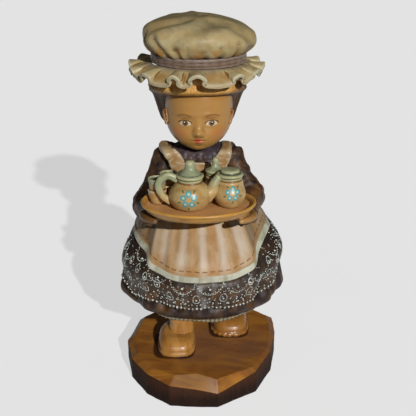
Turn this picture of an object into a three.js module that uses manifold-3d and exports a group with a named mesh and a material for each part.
// A painted wood carving of a small child in a mob cap and pinafore, walking forward with a tea tray.
// Units are millimetres, +Z is up and the child faces -Y. The origin is on the plinth's underside.
import * as THREE from "three";
import { mergeVertices } from "three/addons/utils/BufferGeometryUtils.js";
import Module from "manifold-3d";

const wasm = await Module();
wasm.setup();

// Driving sizes: the glue joint that every carved piece keeps to its neighbour, and the smallest cut kept
const GLUE_GAP = 0.3;
const SLIVER = 0.03;

// Driving sizes: plinth, with its corners in plan, anticlockwise from the front left. At each corner the
// bevel starts at the height edge and ends at the top, inset from the side.
const PLINTH_HEIGHT = 11;
const FIGURE_OFFSET = new THREE.Vector2(-1, -1);
const PLINTH_CORNERS = [
  { x: -12.5, y: -36, inset: 5.4, edge: 9.2 },
  { x: -2.4, y: -36.5, inset: 7.1, edge: 8 },
  { x: 2.9, y: -36.8, inset: 4.8, edge: 7 },
  { x: 6.5, y: -37, inset: 3, edge: 6.2 },
  { x: 22, y: -25, inset: 2, edge: 9.4 },
  { x: 29, y: -8, inset: 1.9, edge: 9.6 },
  { x: 32, y: 11, inset: 3, edge: 8.8 },
  { x: 31.5, y: 25, inset: 3.6, edge: 8.8 },
  { x: 22, y: 34, inset: 3, edge: 8.4 },
  { x: 3, y: 37, inset: 3.5, edge: 8.4 },
  { x: -17, y: 34.5, inset: 3, edge: 8.4 },
  { x: -28, y: 24, inset: 3.5, edge: 8.4 },
  { x: -32, y: 3, inset: 3, edge: 8.8 },
  { x: -29, y: -13.5, inset: 3, edge: 8.8 },
  { x: -22, y: -27, inset: 3.2, edge: 9.4 },
];

// Driving sizes: feet and legs
const SHOE_LENGTH = 23;
const SHOE_WIDTH = 16;
const SOLE_THICKNESS = 1.6;
const VAMP_HEIGHT = 6.2;
const ANKLE_BACK = 13.8;
const FRONT_ANKLE_IN = 2;
const LEG_RADIUS = 5.2;
const FRONT_TOE = new THREE.Vector2(-9.6, -15);
const REAR_TOE = new THREE.Vector2(13, 3.5);
const REAR_LEG_LEAN = new THREE.Vector2(-4, -8.5);
const PEG_RADIUS = 1.5;
const PEG_DEPTH = 6.5;
const PEG_RISE = 4;

// Driving sizes: skirt, petticoat, apron and lace
const HEM_HEIGHT = 21.2;
const SKIRT_HEIGHT = 49.8;
const WAIST_RADIUS = 14.8;
const BULGE_RADIUS = 32.6;
const HEM_RADIUS = 25;
const HEM_LIP = 0.9;
const SKIRT_DEPTH_RATIO = 0.92;
const WAIST_DEPTH_RATIO = 0.7;
const SKIRT_FOLDS = 11;
const SKIRT_FOLD_DEPTH = 0.9;
const SKIRT_SWAY = 0.9;
const SIDE_DRAWS = [
  { side: -1, depth: 3.8, share: 0.56, spread: 0.2 },
  { side: 1, depth: 1.3, share: 0.68, spread: 0.12 },
  { side: 1, depth: 1.4, share: 0.1, spread: 0.06 },
];
const PETTICOAT_DROP = 1.5;
const PETTICOAT_WALL = 2.6;
const PETTICOAT_RECESS = 3.4;
const PETTICOAT_PLATE = 2.4;
const APRON_THICKNESS = 1;
const APRON_LENGTH = 29.8;
const APRON_HALF_ANGLE = 120;
const APRON_FOLD_DEPTH = 1.7;
const HEM_TILT = 1.3;
const LACE_TILT = 2.1;
const LACE_WIDTH = 11.7;
const LACE_THICKNESS = 1;
const LACE_BULGE = 2.1;
const LACE_PINCH = 3.6;
const WAISTBAND_HEIGHT = 3;
const WAISTBAND_THICKNESS = 1.2;

// Driving sizes: bodice, straps and bib
const TORSO_HEIGHT = 16.2;
const CHEST_HALF_WIDTH = 14.2;
const CHEST_HALF_DEPTH = 9.4;
const NECK_RADIUS = 5.4;
const NECK_HEIGHT = 5;
const STRAP_FOOT_WIDTH = 6.2;
const STRAP_TOP_WIDTH = 4;
const STRAP_THICKNESS = 1;
const STRAP_FOOT_SPREAD = 8.4;
const BIB_HEIGHT = 7.6;
const BIB_HALF_ANGLE = 43;

// Driving sizes: arms and hands
const SLEEVE_RADIUS = 5.8;
const SHOULDER_SPREAD = 12.4;
const ELBOW_SPREAD = 20.8;
const ELBOW_FORWARD = 4;
const WRIST_SPREAD = 18.4;
const WRIST_RADIUS = 3;
const CUFF_RADIUS = 4.2;
const FOREARM_REACH = 18;
const HAND_LENGTH = 14;
const HAND_HALF_WIDTH = 3.9;
const HAND_HALF_HEIGHT = 1.8;

// Driving sizes: head, hair and cap
const CHIN_LIFT = 0.5;
const FACE_HEIGHT = 22;
const FACE_HALF_WIDTH = 13.1;
const FACE_HALF_DEPTH = 13.4;
const HEAD_FORWARD = 2;
const HAIR_THICKNESS = 1.4;
const HAIR_FLARE = 18.6;
const HAIR_RISE = 4.6;
const HAIR_SHIFT = -0.6;
const CAP_BAND_RADIUS = 18.3;
const CAP_BAND_HEIGHT = 3.1;
const CAP_BAND_THICKNESS = 1.2;
const CAP_FORWARD = 1;
const RUFFLE_REACH = 8.4;
const RUFFLE_DROP = 5.2;
const RUFFLE_THICKNESS = 1.5;
const RUFFLE_SHIFT = -0.9;
// Folds of the frill: where each stands, in degrees from the front, its half width, and its rise in mm
const RUFFLE_FOLDS = [
  { turn: -47, half: 6.6, high: 3.2, lift: 0 },
  { turn: -18.2, half: 5, high: 3.8, lift: 0 },
  { turn: 1.6, half: 7.6, high: 4.2, lift: 0 },
  { turn: 38.4, half: 6.2, high: 3.4, lift: 0 },
  { turn: 64, half: 7, high: 2.4, lift: 1 },
  { turn: 88, half: 8, high: 2.8, lift: 1.4 },
  { turn: 113, half: 7, high: 2.6, lift: 1.9 },
  { turn: 138, half: 8, high: 2.8, lift: 2.1 },
  { turn: 162, half: 7, high: 2.6, lift: 2.1 },
  { turn: 187, half: 8, high: 2.8, lift: 2.1 },
  { turn: 212, half: 7, high: 2.6, lift: 2.1 },
  { turn: 237, half: 8, high: 2.8, lift: 2 },
  { turn: 262, half: 7, high: 2.8, lift: 1.6 },
  { turn: 287, half: 6, high: 2.4, lift: 1 },
];
const CROWN_RADIUS = 21.4;
const CROWN_HEIGHT = 13.9;
const CROWN_LEAN = 0.06;

// Driving sizes: tray and tea set
const TRAY_HALF_WIDTH = 21.5;
const TRAY_HALF_DEPTH = 17.5;
const TRAY_HEIGHT = 4.1;
const TRAY_RECESS = 1.9;
const TRAY_LIP = 1.3;
const TRAY_ABOVE_WAIST = -1.9;
const TEAPOT_RADIUS = 7.8;
const TEAPOT_HEIGHT = 11;
const TEAPOT_NECK_RADIUS = 4.4;
const BOWL_RADIUS = 5.8;
const BOWL_HEIGHT = 11;
const BOWL_NECK_RADIUS = 4.3;
const MILK_RADIUS = 4.2;
const MILK_HEIGHT = 9.2;
const MILK_NECK_RADIUS = 3.2;
const CUP_RADIUS = 3.5;
const CUP_HEIGHT = 5.2;
const CUP_WALL = 0.8;
const TEAPOT_PLACE = new THREE.Vector2(-3, -2.8);
const BOWL_PLACE = new THREE.Vector2(11.7, -0.4);
const MILK_PLACE = new THREE.Vector2(6.4, 10);
const CUP_PLACES = [
  new THREE.Vector2(-15.3, 2.4),
  new THREE.Vector2(-11.2, 9),
  new THREE.Vector2(-3.6, 11),
];

// Heights above the plinth's top, each built on the piece below
const WAIST_Z = HEM_HEIGHT + SKIRT_HEIGHT;
const TORSO_Z = WAIST_Z + GLUE_GAP;
const SHOULDER_Z = TORSO_Z + TORSO_HEIGHT;
const CHIN_Z = SHOULDER_Z + CHIN_LIFT;
const HAIRLINE_Z = CHIN_Z + FACE_HEIGHT;
const SKULL_TOP_Z = HAIRLINE_Z + 2;
const HAIR_TOP_Z = HAIRLINE_Z + HAIR_RISE + GLUE_GAP;
const CROWN_PLUG_Z = HAIR_TOP_Z + GLUE_GAP;
const RUFFLE_TOP_Z = CROWN_PLUG_Z + 5;
const BAND_Z = RUFFLE_TOP_Z + GLUE_GAP;
const CROWN_SEAT_Z = BAND_Z + CAP_BAND_HEIGHT + GLUE_GAP;
const TRAY_Z = WAIST_Z + TRAY_ABOVE_WAIST;
const TRAY_FLOOR_Z = TRAY_Z + TRAY_HEIGHT - TRAY_RECESS;
const TRAY_CENTRE_Y = -(CHEST_HALF_DEPTH + GLUE_GAP + WAISTBAND_THICKNESS + GLUE_GAP + TRAY_HALF_DEPTH);

const degrees = THREE.MathUtils.degToRad;

// A smooth curve through stations of [position, value], as a function of position.
function curveThrough(stations) {
  const slope = (i) => {
    const before = stations[Math.max(i - 1, 0)];
    const after = stations[Math.min(i + 1, stations.length - 1)];
    return (after[1] - before[1]) / (after[0] - before[0]);
  };
  return (position) => {
    const last = stations.length - 1;
    if (position <= stations[0][0]) return stations[0][1];
    if (position >= stations[last][0]) return stations[last][1];
    let i = 0;
    while (stations[i + 1][0] < position) i += 1;
    const span = stations[i + 1][0] - stations[i][0];
    const t = (position - stations[i][0]) / span;
    const rise = stations[i + 1][1] - stations[i][1];
    const a = slope(i) * span - rise;
    const b = rise - slope(i + 1) * span;
    return stations[i][1] + rise * t + t * (1 - t) * (a * (1 - t) + b * t);
  };
}

// A closed geometry from its points and triangles, turned so that its faces point out.
function geometryFrom(points, triangles) {
  const geometry = new THREE.BufferGeometry();
  geometry.setAttribute("position", new THREE.Float32BufferAttribute(points.flat(), 3));
  let volume = 0;
  const [a, b, c] = [new THREE.Vector3(), new THREE.Vector3(), new THREE.Vector3()];
  for (const [i, j, k] of triangles) {
    volume += a.set(...points[i]).dot(b.set(...points[j]).cross(c.set(...points[k])));
  }
  const facing = volume < 0 ? triangles.map(([i, j, k]) => [i, k, j]) : triangles;
  geometry.setIndex(facing.flat());
  return geometry;
}

// The triangles between two rows of points, which close into rings unless open is true.
function strip(triangles, lower, upper, count, open = false) {
  for (let i = 0; i < (open ? count - 1 : count); i += 1) {
    const next = (i + 1) % count;
    triangles.push([lower + i, lower + next, upper + next], [lower + i, upper + next, upper + i]);
  }
}

// A solid with a skin of stacked rings, closed at both ends by a fan.
function stackSolid(rings) {
  const count = rings[0].length;
  const points = rings.flat();
  const triangles = [];
  for (let row = 0; row + 1 < rings.length; row += 1) {
    strip(triangles, row * count, (row + 1) * count, count);
  }
  const middle = (ring) => [0, 1, 2].map((axis) => ring.reduce((sum, p) => sum + p[axis], 0) / count);
  const bottom = points.push(middle(rings[0])) - 1;
  const top = points.push(middle(rings[rings.length - 1])) - 1;
  const topRow = (rings.length - 1) * count;
  for (let i = 0; i < count; i += 1) {
    const next = (i + 1) % count;
    triangles.push([bottom, next, i], [top, topRow + i, topRow + next]);
  }
  return geometryFrom(points, triangles);
}

// A hoop: rings that follow a closed section, the last joined to the first.
function hoopSolid(rings) {
  const count = rings[0].length;
  const triangles = [];
  for (let row = 0; row < rings.length; row += 1) {
    strip(triangles, row * count, ((row + 1) % rings.length) * count, count);
  }
  return geometryFrom(rings.flat(), triangles);
}

// A curved sheet with thickness: rows of outer points, the matching inner points, and walls round the edge.
function sheetSolid(outer, inner) {
  const count = outer[0].length;
  const loops = outer.map((row, i) => [...row, ...[...inner[i]].reverse()]);
  const triangles = [];
  for (let row = 0; row + 1 < loops.length; row += 1) {
    strip(triangles, row * count * 2, (row + 1) * count * 2, count * 2);
  }
  const end = (loops.length - 1) * count * 2;
  for (let i = 0; i + 1 < count; i += 1) {
    const back = count * 2 - 1 - i;
    triangles.push([i + 1, i, back], [i + 1, back, back - 1]);
    triangles.push([end + i, end + i + 1, end + back], [end + i + 1, end + back - 1, end + back]);
  }
  return geometryFrom(loops.flat(), triangles);
}

// A ring of points; place(angle) gives each one, and angle 0 is +X.
function ring(count, place) {
  return Array.from({ length: count }, (_, i) => place((i / count) * Math.PI * 2));
}

// An oval ring at one height; power over 2 squares it off.
function oval(count, x, y, z, halfWidth, halfDepth, power = 2) {
  return ring(count, (angle) => {
    const [c, s] = [Math.cos(angle), Math.sin(angle)];
    const reach = (Math.abs(c) ** power + Math.abs(s) ** power) ** (-1 / power);
    return [x + halfWidth * reach * c, y + halfDepth * reach * s, z];
  });
}

// A turned piece: rings at [radius, height] round a vertical line, narrower in depth if depth is under 1.
function turned(profile, x, y, z, count, depth = 1) {
  return stackSolid(profile.map(([radius, height]) => oval(count, x, y, z + height, radius, radius * depth)));
}

// A limb: oval sections along a smooth path. Stations are { at, wide, high } and side points across it.
function limb(stations, count, steps, side = new THREE.Vector3(0, 0, 1)) {
  const path = new THREE.CatmullRomCurve3(
    stations.map((s) => s.at),
    false,
    "centripetal",
  );
  const last = stations.length - 1;
  const wide = curveThrough(stations.map((s, i) => [i / last, s.wide]));
  const high = curveThrough(stations.map((s, i) => [i / last, s.high]));
  const rings = Array.from({ length: steps + 1 }, (_, step) => {
    const t = step / steps;
    const centre = path.getPoint(t);
    const along = path.getTangent(t);
    const across = new THREE.Vector3().crossVectors(side, along).normalize();
    const up = new THREE.Vector3().crossVectors(along, across);
    return ring(count, (angle) =>
      centre
        .clone()
        .addScaledVector(across, wide(t) * Math.cos(angle))
        .addScaledVector(up, high(t) * Math.sin(angle))
        .toArray(),
    );
  });
  return stackSolid(rings);
}

const vector = (x, y, z) => new THREE.Vector3(x, y, z);

// The geometry with its vertices merged by position alone.
function welded(geometry) {
  const bare = geometry.clone();
  for (const name of Object.keys(bare.attributes)) if (name !== "position") bare.deleteAttribute(name);
  return mergeVertices(bare, 1e-4);
}

// The same shape, with each face moved out by the glue gap and the corners mitred.
const MITRE_LIMIT = 2.5;
function grown(geometry, by = GLUE_GAP) {
  const bare = welded(geometry);
  const position = bare.attributes.position;
  const index = bare.index.array;
  const facing = Array.from({ length: position.count }, () => []);
  for (let i = 0; i < index.length; i += 3) {
    const corners = index.slice(i, i + 3);
    const face = new THREE.Triangle().setFromAttributeAndIndices(position, ...corners);
    const normal = face.getNormal(new THREE.Vector3());
    for (const corner of corners) {
      if (!facing[corner].some((other) => other.dot(normal) > 0.98)) facing[corner].push(normal);
    }
  }
  facing.forEach((normals, i) => {
    const away = normals.reduce((sum, n) => sum.add(n), new THREE.Vector3()).normalize();
    const least = Math.min(...normals.map((n) => n.dot(away)));
    away.multiplyScalar(by / Math.max(least, 1 / MITRE_LIMIT));
    const point = new THREE.Vector3().fromBufferAttribute(position, i).add(away);
    position.setXYZ(i, ...point);
  });
  return bare;
}

function toManifold(geometry) {
  const bare = welded(geometry);
  const vertProperties = new Float32Array(bare.attributes.position.array);
  const triVerts = new Uint32Array(bare.index.array);
  return new wasm.Manifold(new wasm.Mesh({ numProp: 3, vertProperties, triVerts }));
}

// The largest body of a solid, without slivers.
function fromManifold(solid) {
  const bodies = solid.asOriginal().simplify(SLIVER).decompose();
  const mesh = bodies.sort((a, b) => b.volume() - a.volume())[0].getMesh();
  const geometry = new THREE.BufferGeometry();
  geometry.setAttribute("position", new THREE.BufferAttribute(new Float32Array(mesh.vertProperties), 3));
  geometry.setIndex(new THREE.BufferAttribute(new Uint32Array(mesh.triVerts), 1));
  return geometry;
}

// What is left of a piece after its neighbours, and the glue gap round them, are cut away.
function fitted(geometry, ...neighbours) {
  let solid = toManifold(geometry);
  for (const neighbour of neighbours) solid = solid.subtract(toManifold(grown(neighbour)));
  return fromManifold(solid);
}

// One body from several that overlap.
function joined(...geometries) {
  return fromManifold(geometries.map(toManifold).reduce((whole, next) => whole.add(next)));
}

const mirrored = (geometry) => {
  const points = geometry.attributes.position;
  const flipped = (_, i) => [-points.getX(i), points.getY(i), points.getZ(i)];
  const corners = Array.from({ length: points.count }, flipped);
  const index = geometry.index.array;
  const triangles = Array.from({ length: index.length / 3 }, (_, i) => [...index.slice(i * 3, i * 3 + 3)]);
  return geometryFrom(corners, triangles);
};

// Materials: waxed and painted maple
const paint = (colour, roughness = 0.45) =>
  new THREE.MeshStandardMaterial({ color: colour, roughness, metalness: 0 });
const stainedWood = paint(0x7a4f26);
const honeyWood = paint(0xb8843f);
const skinPaint = paint(0xc79a5e);
const hairPaint = paint(0xa06f38);
const creamPaint = paint(0xd2bd94);
const apronPaint = paint(0xc9a67c);
const dressPaint = paint(0x4c382b);
const lacePaint = paint(0x4a3a31);
const bandPaint = paint(0x6b5348);
const glazePaint = paint(0xcdb083);
const greenPaint = paint(0x9aa67c);
const beechPeg = paint(0xd0b080, 0.7);

const model = new THREE.Group();
const figure = new THREE.Group();
figure.position.set(FIGURE_OFFSET.x, FIGURE_OFFSET.y, PLINTH_HEIGHT);
model.add(figure);

function add(group, name, geometry, material) {
  const mesh = new THREE.Mesh(geometry, material);
  mesh.name = name;
  group.add(mesh);
  return geometry;
}

// Shoes: a flat sole with a small ledge, and a rounded toe that rises to the ankle
function shoe(toe) {
  const half = SHOE_LENGTH / 2;
  const section = (z, toeBack, heelForward, narrow) => {
    const depth = half - (toeBack + heelForward) / 2;
    const centre = toe.y + half + (toeBack - heelForward) / 2;
    return oval(18, toe.x, centre, z, SHOE_WIDTH / 2 - narrow, depth, 2.9);
  };
  const upper = VAMP_HEIGHT - SOLE_THICKNESS;
  return stackSolid([
    section(0, 0.2, 0.2, 0.2),
    section(SOLE_THICKNESS, 0, 0, 0),
    section(SOLE_THICKNESS + 0.1, 0.6, 0.5, 0.5),
    section(SOLE_THICKNESS + upper * 0.45, 0.9, 0.7, 0.6),
    section(SOLE_THICKNESS + upper * 0.8, 2.6, 1.3, 1.2),
    section(VAMP_HEIGHT, 6.2, 2.4, 2.4),
  ]);
}

// Legs: plain tapered stockings from the shoe's top to the petticoat's recess
const PETTICOAT_CEILING_Z = HEM_HEIGHT - PETTICOAT_DROP + PETTICOAT_RECESS;
function leg(toe, ankleIn, lean) {
  const foot = vector(toe.x + ankleIn, toe.y + ANKLE_BACK, VAMP_HEIGHT + GLUE_GAP);
  const top = vector(foot.x + lean.x, foot.y + lean.y, PETTICOAT_CEILING_Z - GLUE_GAP);
  const at = (t, radius) => {
    const centre = foot.clone().lerp(top, t);
    return oval(14, centre.x, centre.y, centre.z, radius, radius);
  };
  return stackSolid([
    at(0, LEG_RADIUS * 1.02),
    at(0.2, LEG_RADIUS * 0.98),
    at(0.6, LEG_RADIUS),
    at(1, LEG_RADIUS * 1.06),
  ]);
}

// Foot pegs: dowels glued into blind holes in the plinth and the shoes
const pegPlace = (toe) => vector(toe.x, toe.y + ANKLE_BACK, 0);
function pegHole(place, length, from) {
  const radius = PEG_RADIUS + GLUE_GAP;
  return turned([[radius, 0], [radius, length]], place.x, place.y, from, 12);
}

function addFoot(side, toe, ankleIn, lean) {
  const place = pegPlace(toe);
  const hole = pegHole(place, PEG_RISE + GLUE_GAP + 1, -1);
  const shoeSolid = fromManifold(toManifold(shoe(toe)).subtract(toManifold(hole)));
  add(figure, `${side}_shoe`, shoeSolid, honeyWood);
  add(figure, `${side}_leg`, leg(toe, ankleIn, lean), honeyWood);
  const peg = [[PEG_RADIUS, 0], [PEG_RADIUS, PEG_DEPTH + PEG_RISE]];
  add(figure, `${side}_foot_peg`, turned(peg, place.x, place.y, -PEG_DEPTH, 12), beechPeg);
}

addFoot("right", FRONT_TOE, FRONT_ANKLE_IN, new THREE.Vector2(0.4, 0.6));
addFoot("left", REAR_TOE, 0, REAR_LEG_LEAN);

// Plinth: one block with upright sides, a chiselled bevel, and two blind peg holes
function plinth() {
  const corner = (c, z, inset) => {
    const reach = Math.hypot(c.x, c.y);
    const scale = (reach - inset) / reach;
    return [c.x * scale, c.y * scale, z];
  };
  const block = toManifold(
    stackSolid([
      PLINTH_CORNERS.map((c) => corner(c, 0, 0)),
      PLINTH_CORNERS.map((c) => corner(c, c.edge, 0)),
      PLINTH_CORNERS.map((c) => corner(c, PLINTH_HEIGHT, c.inset)),
    ]),
  );
  const holes = [FRONT_TOE, REAR_TOE].map((toe) => {
    const place = pegPlace(toe).add(vector(FIGURE_OFFSET.x, FIGURE_OFFSET.y, 0));
    const floor = PLINTH_HEIGHT - PEG_DEPTH - GLUE_GAP;
    return toManifold(pegHole(place, PEG_DEPTH + GLUE_GAP + 1, floor));
  });
  return fromManifold(block.subtract(holes[0]).subtract(holes[1]));
}
add(model, "plinth", plinth(), stainedWood);

// Skirt: a bell that balloons over the hem, pinched in under the lace, with carved folds
const skirtShare = (z) => (z - HEM_HEIGHT) / SKIRT_HEIGHT;
const bulge = (share) => WAIST_RADIUS + (BULGE_RADIUS - WAIST_RADIUS) * share;
const skirtProfile = curveThrough([
  [0, HEM_RADIUS],
  [0.045, HEM_RADIUS + (BULGE_RADIUS - HEM_RADIUS) * 0.6],
  [0.11, bulge(1)],
  [0.2, bulge(1.02)],
  [0.34, bulge(0.97)],
  [0.5, bulge(0.88)],
  [0.64, bulge(0.72)],
  [0.74, bulge(0.56)],
  [0.85, bulge(0.35)],
  [0.93, bulge(0.16)],
  [1, bulge(0)],
]);
function depthRatio(z) {
  const share = THREE.MathUtils.smoothstep(skirtShare(z), 0.45, 1);
  return THREE.MathUtils.lerp(SKIRT_DEPTH_RATIO, WAIST_DEPTH_RATIO, share);
}

// Hems of the apron and of its lace, as rises from the front in millimetres by degrees from the front
const APRON_TOP_Z = WAIST_Z - 1;
const apronRise = curveThrough([
  [0, 0],
  [12, 0.15],
  [25, 1.2],
  [37, 3.6],
  [48, 8.2],
  [65, 11.4],
  [85, 13.2],
  [102, 16.4],
  [120, 22.4],
]);
const laceRise = curveThrough([
  [0, 0],
  [20, 0.2],
  [45, 1.5],
  [62, 2.5],
  [74, 5.8],
  [86, 9.9],
  [102, 14.8],
  [120, 20.3],
]);
const turnFromFront = (angle) => {
  const turn = THREE.MathUtils.euclideanModulo(angle + Math.PI / 2 + Math.PI, Math.PI * 2) - Math.PI;
  return THREE.MathUtils.radToDeg(turn);
};
const hemTilt = (turn) => Math.sign(turn) * THREE.MathUtils.smoothstep(Math.abs(turn), 38, 60);
function apronHemZ(angle) {
  const turn = turnFromFront(angle);
  return APRON_TOP_Z - APRON_LENGTH + apronRise(Math.abs(turn)) + HEM_TILT * hemTilt(turn);
}
function laceHemZ(angle) {
  const turn = turnFromFront(angle);
  const rise = laceRise(Math.abs(turn)) + LACE_TILT * hemTilt(turn);
  return APRON_TOP_Z - APRON_LENGTH - LACE_WIDTH + rise;
}

function skirtFold(angle, z) {
  const share = skirtShare(z);
  const strength = Math.min(share / 0.1, 1) * (1 - THREE.MathUtils.smoothstep(share, 0.1, 0.6));
  return SKIRT_FOLD_DEPTH * strength * Math.cos(SKIRT_FOLDS * angle + 0.6 * Math.sin(2 * angle));
}
function lacePinch(angle, z) {
  const above = (z - laceHemZ(angle) - 3) / 6;
  const covered = 1 - THREE.MathUtils.smoothstep(Math.abs(turnFromFront(angle)), 96, 128);
  const hemFree = Math.min(skirtShare(z) / 0.12, 1);
  return LACE_PINCH * covered * hemFree * Math.exp(-above * above);
}
// How far the skirt is drawn in on its sides, where it isn't an even bell.
function sideDraw(angle, z) {
  return SIDE_DRAWS.reduce((sum, { side, depth, share, spread }) => {
    const above = (skirtShare(z) - share) / spread;
    return sum + depth * Math.max(side * Math.cos(angle), 0) ** 2 * Math.exp(-above * above);
  }, 0);
}
// A point at a distance outside the skirt's surface, at an angle from +X and a height.
function onSkirt(angle, z, outside = 0) {
  const bell = skirtProfile(skirtShare(z)) - sideDraw(angle, z);
  const radius = bell + skirtFold(angle, z) - lacePinch(angle, z) + outside;
  const sway = SKIRT_SWAY * (1 - THREE.MathUtils.smoothstep(skirtShare(z), 0.5, 1));
  return [sway + radius * Math.cos(angle), radius * depthRatio(z) * Math.sin(angle), z];
}

const SKIRT_COLUMNS = 72;
const petticoatRadius = HEM_RADIUS - HEM_LIP;
const petticoatTopZ = PETTICOAT_CEILING_Z + PETTICOAT_PLATE;
function skirt() {
  const inside = petticoatRadius + GLUE_GAP;
  const hollow = (z, radius) =>
    oval(SKIRT_COLUMNS, SKIRT_SWAY, 0, z, radius, radius * SKIRT_DEPTH_RATIO);
  const shares = [0, 0.04, 0.09, 0.14, 0.19, 0.25, 0.31, 0.38, 0.46, 0.55, 0.66, 0.78, 0.9, 1];
  return stackSolid([
    hollow(petticoatTopZ + GLUE_GAP, inside),
    hollow(HEM_HEIGHT, inside),
    ...shares.map((share) =>
      ring(SKIRT_COLUMNS, (angle) => onSkirt(angle, HEM_HEIGHT + share * SKIRT_HEIGHT)),
    ),
  ]);
}
const skirtSolid = add(figure, "skirt", skirt(), dressPaint);

// Petticoat: an inset plug whose rim shows below the hem, hollowed for the legs
function petticoat() {
  const rim = (z, radius) => oval(40, SKIRT_SWAY, 0, z, radius, radius * SKIRT_DEPTH_RATIO);
  const low = HEM_HEIGHT - PETTICOAT_DROP;
  const mouth = petticoatRadius - PETTICOAT_WALL;
  return stackSolid([
    rim(PETTICOAT_CEILING_Z, mouth - 0.8),
    rim(low, mouth),
    rim(low, petticoatRadius),
    rim(petticoatTopZ, petticoatRadius),
  ]);
}
add(figure, "petticoat", petticoat(), creamPaint);

// Apron: a folded sheet over the front of the skirt, its hem rising from the front to the back
// Broad folds: a raised middle panel, a deep valley on each side of it and a billowing side panel.
const foldShape = curveThrough([
  [0, 0.62],
  [9, 0.36],
  [20, 0.62],
  [29, 0.42],
  [38, 1],
  [46, 0],
  [58, 0.62],
  [78, 1],
  [96, 0.5],
  [112, 0.2],
]);
function apronFold(angle, z) {
  const share = 1 - skirtShare(z);
  return APRON_FOLD_DEPTH * foldShape(Math.abs(turnFromFront(angle))) * Math.min(share / 0.5, 1);
}
function apronPanel(columns, rows, topZ, bottomZ, outside, skinGap) {
  const surface = (offset) =>
    Array.from({ length: rows + 1 }, (_, row) =>
      Array.from({ length: columns + 1 }, (_, column) => {
        const turn = degrees(APRON_HALF_ANGLE) * ((2 * column) / columns - 1);
        const angle = turn - Math.PI / 2;
        const z = THREE.MathUtils.lerp(bottomZ(angle), topZ(angle), row / rows);
        return onSkirt(angle, z, offset(angle, z, row / rows));
      }),
    );
  return sheetSolid(surface(outside), surface(skinGap));
}
const UNDER_APRON_GAP = 0.45;
const APRON_COLUMNS = 2 * Math.round((APRON_HALF_ANGLE / 180) * SKIRT_COLUMNS);
const apronSolid = apronPanel(
  APRON_COLUMNS,
  7,
  () => APRON_TOP_Z,
  apronHemZ,
  (angle, z) => UNDER_APRON_GAP + APRON_THICKNESS + apronFold(angle, z),
  () => UNDER_APRON_GAP,
);
add(figure, "apron_panel", apronSolid, apronPaint);

// Lace: a flounce from the apron's hem that swells over the skirt and turns in at its edge
const laceSwell = curveThrough([[0, 0.25], [0.35, 0.95], [0.65, 1], [0.88, 0.4], [1, -0.2]]);
const laceSolid = apronPanel(
  APRON_COLUMNS,
  6,
  (angle) => apronHemZ(angle) - GLUE_GAP,
  laceHemZ,
  (angle, z, share) =>
    UNDER_APRON_GAP + LACE_THICKNESS + apronFold(angle, z) * 0.6 + LACE_BULGE * laceSwell(share),
  () => UNDER_APRON_GAP,
);
add(figure, "lace_flounce", fitted(laceSolid, skirtSolid), lacePaint);

// Bodice: the dress above the waist, narrowing over the shoulders to the neck
const TORSO_COLUMNS = 24;
const torsoRing = (share, wide, deep) =>
  oval(TORSO_COLUMNS, 0, 0, TORSO_Z + TORSO_HEIGHT * share, wide, deep, 2.3);
const bodiceSolid = stackSolid([
  torsoRing(0, CHEST_HALF_WIDTH - 0.6, CHEST_HALF_DEPTH),
  torsoRing(0.28, CHEST_HALF_WIDTH - 0.7, CHEST_HALF_DEPTH),
  torsoRing(0.56, CHEST_HALF_WIDTH, CHEST_HALF_DEPTH),
  torsoRing(0.76, CHEST_HALF_WIDTH + 0.1, CHEST_HALF_DEPTH - 0.5),
  torsoRing(0.88, CHEST_HALF_WIDTH - 1.7, CHEST_HALF_DEPTH - 1.5),
  torsoRing(0.96, CHEST_HALF_WIDTH - 4.8, CHEST_HALF_DEPTH - 2.8),
  torsoRing(1, NECK_RADIUS + 1.2, NECK_RADIUS + 0.4),
]);
add(figure, "bodice", bodiceSolid, dressPaint);

// Waistband: the apron's tie round the bottom of the bodice
function waistband() {
  const band = (z, outside) =>
    oval(
      TORSO_COLUMNS,
      0,
      0,
      z,
      CHEST_HALF_WIDTH - 0.6 + outside,
      CHEST_HALF_DEPTH + outside,
      2.3,
    );
  const top = TORSO_Z + WAISTBAND_HEIGHT;
  const outside = GLUE_GAP + WAISTBAND_THICKNESS;
  const [inner, outer] = [GLUE_GAP, outside];
  return hoopSolid([band(TORSO_Z, inner), band(TORSO_Z, outer), band(top, outer), band(top, inner)]);
}
const waistbandSolid = add(figure, "waistband", waistband(), apronPaint);

// Straps: bands from the bib over each shoulder to the waistband at the back, gathered up on top
const bandTopZ = TORSO_Z + WAISTBAND_HEIGHT + GLUE_GAP;
function strap({ side, spread, over }) {
  const frontY = -(CHEST_HALF_DEPTH + GLUE_GAP);
  const bibTopZ = bandTopZ + BIB_HEIGHT + GLUE_GAP;
  const foot = STRAP_FOOT_WIDTH / 2;
  const top = STRAP_TOP_WIDTH / 2;
  const at = (x, y, z, half, gather = 1) => ({
    at: vector(side * x, y, z),
    wide: STRAP_THICKNESS * gather,
    high: half,
  });
  return limb(
    [
      at(STRAP_FOOT_SPREAD, frontY + 1.5, bibTopZ + 1.4, foot),
      at(spread / 2 + 5, frontY + 2.4, SHOULDER_Z - 1.6, (foot + top) / 2),
      at(spread, -1.5, SHOULDER_Z - 0.6 + over, top, 1.5),
      at(spread - 0.7, 3, SHOULDER_Z - 1.4, top),
      at(STRAP_FOOT_SPREAD, -frontY - 1, SHOULDER_Z - 5.4, top * 0.9),
      at(STRAP_FOOT_SPREAD - 1.6, -frontY - 0.5, bandTopZ, top),
    ],
    8,
    12,
    vector(1, 0, 0),
  );
}

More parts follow.
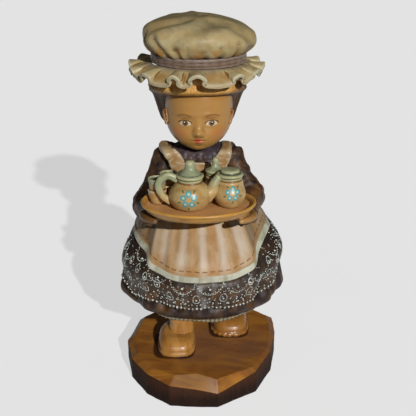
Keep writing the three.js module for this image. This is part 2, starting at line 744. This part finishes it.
// Bib: the apron's square front, on the bodice above the waistband
function bib() {
  const rows = [0, 0.5, 1].map((share) => bandTopZ + BIB_HEIGHT * share);
  const columns = 10;
  const surface = (outside) =>
    rows.map((z) =>
      Array.from({ length: columns + 1 }, (_, column) => {
        const angle = degrees(-90 + BIB_HALF_ANGLE * ((2 * column) / columns - 1));
        const [c, s] = [Math.cos(angle), Math.sin(angle)];
        const reach = (Math.abs(c) ** 2.3 + Math.abs(s) ** 2.3) ** (-1 / 2.3);
        const [wide, deep] = [CHEST_HALF_WIDTH + outside, CHEST_HALF_DEPTH + outside];
        return [wide * reach * c, deep * reach * s, z];
      }),
    );
  return sheetSolid(surface(GLUE_GAP + STRAP_THICKNESS), surface(GLUE_GAP * 0.5));
}
const bibSolid = fitted(bib(), bodiceSolid);
add(figure, "apron_bib", bibSolid, apronPaint);
const STRAPS = [
  { side: -1, spread: 13.9, over: -0.9 },
  { side: 1, spread: 11, over: -0.4 },
];
const strapSolids = STRAPS.map((place) => fitted(strap(place), bodiceSolid, bibSolid, waistbandSolid));
add(figure, "right_strap", strapSolids[0], apronPaint);
add(figure, "left_strap", strapSolids[1], apronPaint);

// Bow: the apron's ties at the back of the waistband
function bow() {
  const y = CHEST_HALF_DEPTH + GLUE_GAP + WAISTBAND_THICKNESS + GLUE_GAP;
  const z = TORSO_Z + WAISTBAND_HEIGHT / 2;
  const knot = turned(
    [[1, -1.9], [1.9, -1.2], [2.1, 0], [1.9, 1.2], [1, 1.9]],
    0,
    y + 1.5,
    z,
    12,
    0.8,
  );
  const loop = limb(
    [
      { at: vector(0.6, y + 1.5, z), wide: 0.9, high: 1 },
      { at: vector(4, y + 1.9, z + 1.1), wide: 1.5, high: 2 },
      { at: vector(8, y + 1, z + 0.7), wide: 1.5, high: 2.5 },
      { at: vector(10, y - 0.2, z - 0.3), wide: 0.9, high: 1.7 },
    ],
    8,
    6,
  );
  const tail = limb(
    [
      { at: vector(0.4, y + 1.5, z - 0.6), wide: 1, high: 0.8 },
      { at: vector(2.2, y + 2.2, z - 5), wide: 1.6, high: 0.9 },
      { at: vector(3.6, y + 7.4, z - 11), wide: 2.1, high: 0.9 },
      { at: vector(4.6, y + 11.6, z - 16), wide: 2.4, high: 0.8 },
    ],
    8,
    6,
    vector(0, 1, 0.6),
  );
  return joined(knot, loop, mirrored(loop), tail, mirrored(tail));
}
const bowNeighbours = [waistbandSolid, skirtSolid, bodiceSolid, ...strapSolids];
add(figure, "apron_bow", fitted(bow(), ...bowNeighbours), apronPaint);

// Tray: an oval dish with a raised lip, resting against the waistband and on the hands
function tray() {
  const rim = (z, inset) =>
    oval(32, 0, TRAY_CENTRE_Y, z, TRAY_HALF_WIDTH - inset, TRAY_HALF_DEPTH - inset);
  const top = TRAY_Z + TRAY_HEIGHT;
  return stackSolid([
    rim(TRAY_Z, 3.4),
    rim(TRAY_Z + 1, 1.4),
    rim(top - 0.9, 0),
    rim(top, 0.4),
    rim(top, TRAY_LIP),
    rim(TRAY_FLOOR_Z, TRAY_LIP + 1.1),
  ]);
}
const traySolid = add(figure, "tray", tray(), honeyWood);

// Sleeves and hands: the child's right arm, at -X, hangs lower than the left one
const WRIST_Z = TRAY_Z - GLUE_GAP - CUFF_RADIUS;
const WRIST_Y = -(ELBOW_FORWARD + FOREARM_REACH);
const SLEEVE_SLIMMING = { right: [0.8, 0.8, 0.5], left: [1.1, 1.7, 1.1] };
function upperSleeve(side, elbow, slimming) {
  const shoulder = vector(side * SHOULDER_SPREAD, 0.5, SHOULDER_Z - 4.8);
  const along = (t, radius) => ({ at: shoulder.clone().lerp(elbow, t), wide: radius, high: radius });
  const cap = along(-0.12, 2.4);
  cap.at.add(vector(-side * 1.4, 0, 0.6));
  return limb(
    [
      cap,
      along(0.02, SLEEVE_RADIUS - 0.7),
      along(0.3, SLEEVE_RADIUS - slimming[0]),
      along(0.55, SLEEVE_RADIUS - slimming[1]),
      along(0.76, SLEEVE_RADIUS - slimming[2]),
      along(0.96, SLEEVE_RADIUS),
      along(1.2, SLEEVE_RADIUS - 2.2),
    ],
    12,
    7,
    vector(0, 1, 0),
  );
}
function lowerSleeve(elbow, wrist) {
  const along = (t, radius) => ({ at: elbow.clone().lerp(wrist, t), wide: radius, high: radius });
  return limb(
    [
      along(0.1, SLEEVE_RADIUS - 0.6),
      along(0.45, CUFF_RADIUS + 0.2),
      along(0.75, CUFF_RADIUS - 0.6),
      along(1, CUFF_RADIUS),
    ],
    12,
    5,
  );
}
function hand(side) {
  const z = TRAY_Z - GLUE_GAP - HAND_HALF_HEIGHT;
  const y = WRIST_Y - GLUE_GAP;
  const at = (t, inward, dz, wide, high) => ({
    at: vector(side * (WRIST_SPREAD - inward), y - HAND_LENGTH * t, z + dz),
    wide,
    high,
  });
  return limb(
    [
      at(0, 0, -1.8, WRIST_RADIUS, WRIST_RADIUS - 0.6),
      at(0.25, 0.4, -0.9, HAND_HALF_WIDTH - 0.6, HAND_HALF_HEIGHT + 0.2),
      at(0.55, 1, -0.2, HAND_HALF_WIDTH, HAND_HALF_HEIGHT),
      at(0.85, 1.8, 0.2, HAND_HALF_WIDTH - 0.4, HAND_HALF_HEIGHT),
      at(1, 2.2, 0.7, HAND_HALF_WIDTH - 2, HAND_HALF_HEIGHT - 0.7),
    ],
    10,
    7,
  );
}
const torsoParts = [bodiceSolid, bibSolid, ...strapSolids, waistbandSolid, skirtSolid, apronSolid];
function addArm(name, side, elbowDrop) {
  const elbow = vector(side * ELBOW_SPREAD, -ELBOW_FORWARD, TRAY_Z - elbowDrop);
  const wrist = vector(side * WRIST_SPREAD, WRIST_Y, WRIST_Z);
  const upper = fitted(upperSleeve(side, elbow, SLEEVE_SLIMMING[name]), ...torsoParts, traySolid);
  const lower = fitted(lowerSleeve(elbow, wrist), upper, traySolid, skirtSolid, apronSolid);
  add(figure, `${name}_upper_sleeve`, upper, dressPaint);
  add(figure, `${name}_lower_sleeve`, lower, dressPaint);
  add(figure, `${name}_hand`, fitted(hand(side), lower, traySolid), skinPaint);
}
addArm("right", -1, 6);
addArm("left", 1, 2);

// Head: a child's round face with a small nose and ears, flat under the cap
function head() {
  const level = (share, wide, deep, forward) =>
    oval(
      22,
      0,
      -HEAD_FORWARD - forward,
      CHIN_Z + FACE_HEIGHT * share,
      FACE_HALF_WIDTH * wide,
      FACE_HALF_DEPTH * deep,
      2.1,
    );
  const skull = stackSolid([
    level(0, 0.2, 0.18, 7.6),
    level(0.045, 0.42, 0.38, 6),
    level(0.135, 0.68, 0.68, 3.4),
    level(0.27, 0.88, 0.88, 1.4),
    level(0.45, 0.98, 0.97, 0.3),
    level(0.64, 1, 1, 0),
    level(0.85, 1, 1, 0),
    level(1, 0.95, 0.96, 0),
    oval(22, 0, -HEAD_FORWARD, SKULL_TOP_Z, FACE_HALF_WIDTH * 0.86, FACE_HALF_DEPTH * 0.88, 2.1),
  ]);
  const nose = turned(
    [[0.7, -1.4], [1.5, -0.8], [1.6, 0.2], [0.9, 1.4]],
    0,
    -HEAD_FORWARD - FACE_HALF_DEPTH * 0.95,
    CHIN_Z + FACE_HEIGHT * 0.38,
    8,
  );
  const earZ = CHIN_Z + FACE_HEIGHT * 0.5;
  const ear = limb(
    [
      { at: vector(FACE_HALF_WIDTH - 0.6, -7.2, earZ - 1.6), wide: 0.5, high: 0.5 },
      { at: vector(FACE_HALF_WIDTH + 0.4, -6.6, earZ + 0.4), wide: 1.2, high: 0.9 },
      { at: vector(FACE_HALF_WIDTH + 0.8, -6, earZ + 2.6), wide: 1.4, high: 0.9 },
      { at: vector(FACE_HALF_WIDTH + 0.4, -6.6, earZ + 5), wide: 0.7, high: 0.6 },
    ],
    8,
    6,
    vector(1, 0, 0.2),
  );
  return joined(skull, nose, ear, mirrored(ear));
}
const headSolid = head();
add(figure, "head", headSolid, skinPaint);

// Neck: a short post from the bodice into the head's underside
const neckZ = SHOULDER_Z + GLUE_GAP;
const neckSolid = turned(
  [[NECK_RADIUS, 0], [NECK_RADIUS - 0.4, NECK_HEIGHT * 0.5], [NECK_RADIUS - 0.2, NECK_HEIGHT]],
  0,
  0,
  neckZ,
  16,
);
add(figure, "neck", fitted(neckSolid, headSolid), skinPaint);

// Hair: swept up from the nape and temples, and flaring under the cap
function hair() {
  const level = (z, wide, front, back) =>
    oval(24, HAIR_SHIFT, (front + back) / 2, z, wide, (back - front) / 2, 2.1);
  const z = (share) => CHIN_Z + FACE_HEIGHT * share;
  const back = FACE_HALF_DEPTH - HEAD_FORWARD + HAIR_THICKNESS;
  const side = FACE_HALF_WIDTH + HAIR_THICKNESS;
  return stackSolid([
    level(z(0.2), side - 5, 1, back - 1.8),
    level(z(0.36), side - 1.6, -1.5, back + 0.4),
    level(z(0.5), side - 0.1, -4, back + 1.4),
    level(z(0.66), side + 1.2, -5.6, back + 2),
    level(z(0.88), HAIR_FLARE - 1, -9, back + 2.6),
    level(z(0.95), HAIR_FLARE, -HAIR_FLARE + 6.6, HAIR_FLARE - 1.8),
    level(z(1), HAIR_FLARE + 0.2, -HAIR_FLARE + 2.2, HAIR_FLARE - 1.8),
    level(HAIRLINE_Z + 1.8, HAIR_FLARE, -HAIR_FLARE + 0.4, HAIR_FLARE - 1.8),
    level(HAIR_TOP_Z, HAIR_FLARE - 1.4, -HAIR_FLARE + 1.6, HAIR_FLARE - 3),
  ]);
}
add(figure, "hair", fitted(hair(), headSolid), hairPaint);

// Cap: a gathered crown with a plug that carries the ruffle and the ribbon band
const plugRadius = CAP_BAND_RADIUS - CAP_BAND_THICKNESS - GLUE_GAP;
const capRing = (count, z, radius) =>
  ring(count, (angle) => {
    const turned = angle - Math.PI / 2;
    return [radius * Math.cos(turned), radius * 0.98 * Math.sin(turned) - CAP_FORWARD, z];
  });
const crownProfile = curveThrough([
  [0, CAP_BAND_RADIUS - 0.6],
  [0.06, CAP_BAND_RADIUS + 0.6],
  [0.18, CROWN_RADIUS - 1.1],
  [0.4, CROWN_RADIUS],
  [0.6, CROWN_RADIUS - 0.8],
  [0.78, CROWN_RADIUS - 3.8],
  [0.9, CROWN_RADIUS - 8],
  [0.98, CROWN_RADIUS - 14.4],
  [1, CROWN_RADIUS - 19],
]);
// The crown before it is creased, at degrees from the front and a share of its height.
function onCrown(turn, share) {
  const angle = degrees(turn - 90);
  const lobe = 0.5 * Math.cos(3 * angle + 1.4) * share;
  const reach = crownProfile(share) + 0.35 * Math.cos(10 * angle) * (1 - share) ** 3 + lobe;
  const x = reach * Math.cos(angle);
  const lean = CROWN_LEAN * x * THREE.MathUtils.smoothstep(share, 0, 0.5);
  return vector(x, reach * 0.98 * Math.sin(angle) - CAP_FORWARD, CROWN_SEAT_Z + CROWN_HEIGHT * share - lean);
}
// Creases of the crown: each a line of [degrees from the front, share of the height]
const CROWN_CREASES = [
  { width: 2.1, depth: 1, line: [[-88, 0.34], [-72, 0.5], [-60, 0.66], [-52, 0.8], [-46, 0.93]] },
  { width: 2.4, depth: 0.8, line: [[-26, 0.3], [-24, 0.5], [-12, 0.72], [6, 0.82], [34, 0.9]] },
  { width: 2.1, depth: 0.9, line: [[30, 0.93], [44, 0.84], [54, 0.66], [62, 0.42], [66, 0.16]] },
  { width: 1.4, depth: 0.8, line: [[-72, 0.42], [-62, 0.2], [-54, 0.02]] },
  { width: 2.2, depth: 0.9, line: [[96, 0.5], [110, 0.7], [130, 0.86], [170, 0.95]] },
  { width: 1.8, depth: 0.9, line: [[150, 0.04], [156, 0.4], [140, 0.66]] },
  { width: 2.1, depth: 1, line: [[-110, 0.04], [-118, 0.42], [-140, 0.7], [-150, 0.9]] },
];
const crownCreases = CROWN_CREASES.map(({ width, depth, line }) => {
  const turn = curveThrough(line.map((station, i) => [i, station[0]]));
  const share = curveThrough(line.map((station, i) => [i, station[1]]));
  const steps = (line.length - 1) * 4;
  const points = Array.from({ length: steps + 1 }, (_, i) => onCrown(turn(i / 4), share(i / 4)));
  return { width, depth, runs: points.slice(1).map((end, i) => new THREE.Line3(points[i], end)) };
});
// How deep the creases sink a point of the crown, less the low roll of wood beside each one.
function creaseDepth(point) {
  const nearest = new THREE.Vector3();
  return crownCreases.reduce((sum, { width, depth, runs }) => {
    const gaps = runs.map((run) => run.closestPointToPoint(point, true, nearest).distanceTo(point));
    const away = Math.min(...gaps);
    const roll = 0.4 * Math.exp(-(((away - 1.7 * width) / width) ** 2));
    return sum + depth * (Math.exp(-((away / width) ** 2)) - roll);
  }, 0);
}
function crown() {
  const columns = 72;
  const heart = vector(0, -CAP_FORWARD, CROWN_SEAT_Z + 2);
  const shares = [0.07, 0.15, 0.24, 0.33, 0.42, 0.51, 0.6, 0.68, 0.75, 0.81, 0.86, 0.9, 0.94, 0.98, 1];
  const creasedRing = (share) =>
    ring(columns, (angle) => {
      const point = onCrown(THREE.MathUtils.radToDeg(angle), share);
      const outward = point.clone().sub(heart).normalize();
      return point.addScaledVector(outward, -creaseDepth(point)).toArray();
    });
  return stackSolid([
    capRing(columns, CROWN_PLUG_Z, plugRadius),
    capRing(columns, CROWN_SEAT_Z - GLUE_GAP, plugRadius),
    ring(columns, (angle) => onCrown(THREE.MathUtils.radToDeg(angle), 0).toArray()),
    ...shares.map(creasedRing),
  ]);
}
add(figure, "cap_crown", crown(), creamPaint);

const bandInside = plugRadius + GLUE_GAP;
add(
  figure,
  "cap_band",
  hoopSolid([
    capRing(32, BAND_Z, bandInside),
    capRing(32, BAND_Z, CAP_BAND_RADIUS),
    capRing(32, BAND_Z + CAP_BAND_HEIGHT, CAP_BAND_RADIUS),
    capRing(32, BAND_Z + CAP_BAND_HEIGHT, bandInside),
  ]),
  bandPaint,
);

// Ruffle: a frill that slopes out from under the band, its edge standing up in narrow-footed folds
const FOLD_SHAPE = [
  { at: -1.45, lean: -1.4, rise: 0, out: -0.3 },
  { at: -1, lean: -0.74, rise: 0.22, out: 0 },
  { at: -0.6, lean: -0.82, rise: 0.64, out: 0.5 },
  { at: 0, lean: 0, rise: 1, out: 0.9 },
  { at: 0.6, lean: 0.82, rise: 0.64, out: 0.5 },
  { at: 1, lean: 0.74, rise: 0.22, out: 0 },
  { at: 1.45, lean: 1.4, rise: 0, out: -0.3 },
];
const frill = RUFFLE_FOLDS.flatMap(({ turn, half, high, lift }) =>
  FOLD_SHAPE.map(({ at, lean, rise, out }) => ({
    at: turn + at * half,
    turn: turn + lean * half,
    z: RUFFLE_TOP_Z - RUFFLE_DROP + lift + rise * high,
    out,
  })),
);
const round = (station, by) => ({ ...station, at: station.at + by, turn: station.turn + by });
const frillRound = [
  ...frill.slice(-3).map((station) => round(station, -360)),
  ...frill,
  ...frill.slice(0, 3).map((station) => round(station, 360)),
];
const frillCurve = (name) => curveThrough(frillRound.map((station) => [station.at, station[name]]));
const [frillTurn, frillZ, frillOut] = [frillCurve("turn"), frillCurve("z"), frillCurve("out")];
function ruffle() {
  const start = frill[0].at;
  const places = frill.flatMap(({ at }, i) => {
    const next = i + 1 < frill.length ? frill[i + 1].at : start + 360;
    return [at, (at + next) / 2];
  });
  const edgeZ = RUFFLE_TOP_Z - RUFFLE_THICKNESS / 2;
  const row = (share, lift) =>
    places.map((at) => {
      const angle = degrees(at + (frillTurn(at) - at) * share ** 1.4 - 90);
      const reach = bandInside + (RUFFLE_REACH + frillOut(at)) * share;
      const z = edgeZ + (frillZ(at) - edgeZ) * share ** 1.25 + lift;
      const shift = RUFFLE_SHIFT * share;
      return [shift + reach * Math.cos(angle), reach * 0.98 * Math.sin(angle) - CAP_FORWARD, z];
    });
  const shares = [0, 0.35, 0.7, 1];
  return hoopSolid([
    ...shares.map((share) => row(share, -RUFFLE_THICKNESS / 2)),
    ...shares.reverse().map((share) => row(share, RUFFLE_THICKNESS / 2)),
  ]);
}
add(figure, "cap_ruffle", ruffle(), creamPaint);

// Tea set: turned pots and cups, glued on the tray's floor
const onTray = (place) => [place.x, place.y + TRAY_CENTRE_Y, TRAY_FLOOR_Z + GLUE_GAP];
const potProfile = (radius, height, neck) => [
  [radius * 0.66, 0],
  [radius * 0.9, height * 0.14],
  [radius, height * 0.38],
  [radius * 0.93, height * 0.62],
  [(radius * 0.72 + neck) / 2, height * 0.85],
  [neck, height * 0.95],
  [neck, height],
];
const lidProfile = (radius, dome, knob) => [
  [radius, 0],
  [radius + 0.4, 0.6],
  [radius, 1.3],
  [radius * 0.62, 1.3 + dome * 0.5],
  [knob * 1.3, 1.3 + dome],
  [knob * 0.85, 2.6 + dome],
  [knob, 3.6 + dome],
  [knob * 0.5, 4.6 + dome],
];
function addPot(place, radius, height, neck, lid, names) {
  const [x, y, z] = onTray(place);
  const body = add(figure, names[0], turned(potProfile(radius, height, neck), x, y, z, 18), glazePaint);
  const lidZ = z + height + GLUE_GAP;
  const cover = add(figure, names[1], turned(lid, x, y, lidZ, 14), greenPaint);
  return [body, cover];
}
const teapotLid = lidProfile(TEAPOT_NECK_RADIUS + 0.3, 2, 1.9);
const [teapotSolid, teapotLidSolid] = addPot(
  TEAPOT_PLACE,
  TEAPOT_RADIUS,
  TEAPOT_HEIGHT,
  TEAPOT_NECK_RADIUS,
  teapotLid,
  ["teapot_body", "teapot_lid"],
);
const bowlLid = [
  [BOWL_NECK_RADIUS + 0.2, 0],
  [BOWL_NECK_RADIUS + 0.6, 0.7],
  [BOWL_NECK_RADIUS, 1.4],
  [BOWL_NECK_RADIUS - 0.6, 1.7],
  [BOWL_NECK_RADIUS - 0.9, 2.4],
  [1, 2.9],
];
const [bowlSolid, bowlLidSolid] = addPot(
  BOWL_PLACE,
  BOWL_RADIUS,
  BOWL_HEIGHT,
  BOWL_NECK_RADIUS,
  bowlLid,
  ["sugar_bowl", "sugar_bowl_lid"],
);
addPot(
  MILK_PLACE,
  MILK_RADIUS,
  MILK_HEIGHT,
  MILK_NECK_RADIUS,
  lidProfile(MILK_NECK_RADIUS + 0.3, 1.3, 1.1),
  ["milk_pot", "milk_pot_lid"],
);

// Teapot handle and spout, in the plane across the tray
const [potX, potY, potZ] = onTray(TEAPOT_PLACE);
function handle() {
  const side = potX - TEAPOT_RADIUS;
  const at = (dx, share) => ({
    at: vector(side + dx, potY, potZ + TEAPOT_HEIGHT * share),
    wide: 1.3,
    high: 1.2,
  });
  const stations = [at(3, 0.98), at(0, 1.1), at(-2.9, 0.96), at(-3.7, 0.7), at(-2.2, 0.4), at(0.6, 0.2)];
  return limb(stations, 8, 12, vector(0, 1, 0));
}
function spout() {
  const side = potX + TEAPOT_RADIUS;
  const at = (dx, dy, share, radius) => ({
    at: vector(side + dx, potY + dy, potZ + TEAPOT_HEIGHT * share),
    wide: radius,
    high: radius,
  });
  const stations = [at(-2, 0, 0.4, 2.9), at(0.2, 0, 0.6, 2.3), at(1.2, 0, 0.84, 1.8), at(2.9, 0.3, 1.1, 1.4)];
  return limb(stations, 10, 6, vector(0, 1, 0));
}
add(figure, "teapot_handle", fitted(handle(), teapotSolid, teapotLidSolid), glazePaint);
add(figure, "teapot_spout", fitted(spout(), teapotSolid, bowlSolid, bowlLidSolid), glazePaint);

// Cups: pairs of small cups, one standing in the other
function cupPair(place) {
  const [x, y, z] = onTray(place);
  const rim = CUP_RADIUS;
  return turned(
    [
      [rim * 0.62, 0],
      [rim * 0.86, CUP_HEIGHT * 0.35],
      [rim, CUP_HEIGHT],
      [rim * 0.8, CUP_HEIGHT],
      [rim * 0.88, CUP_HEIGHT * 1.3],
      [rim, CUP_HEIGHT * 1.85],
      [rim - CUP_WALL, CUP_HEIGHT * 1.85],
      [rim * 0.6, CUP_HEIGHT * 1.5],
    ],
    x,
    y,
    z,
    14,
  );
}
CUP_PLACES.forEach((place, i) => add(figure, `cup_pair_${i + 1}`, cupPair(place), glazePaint));

export default model;
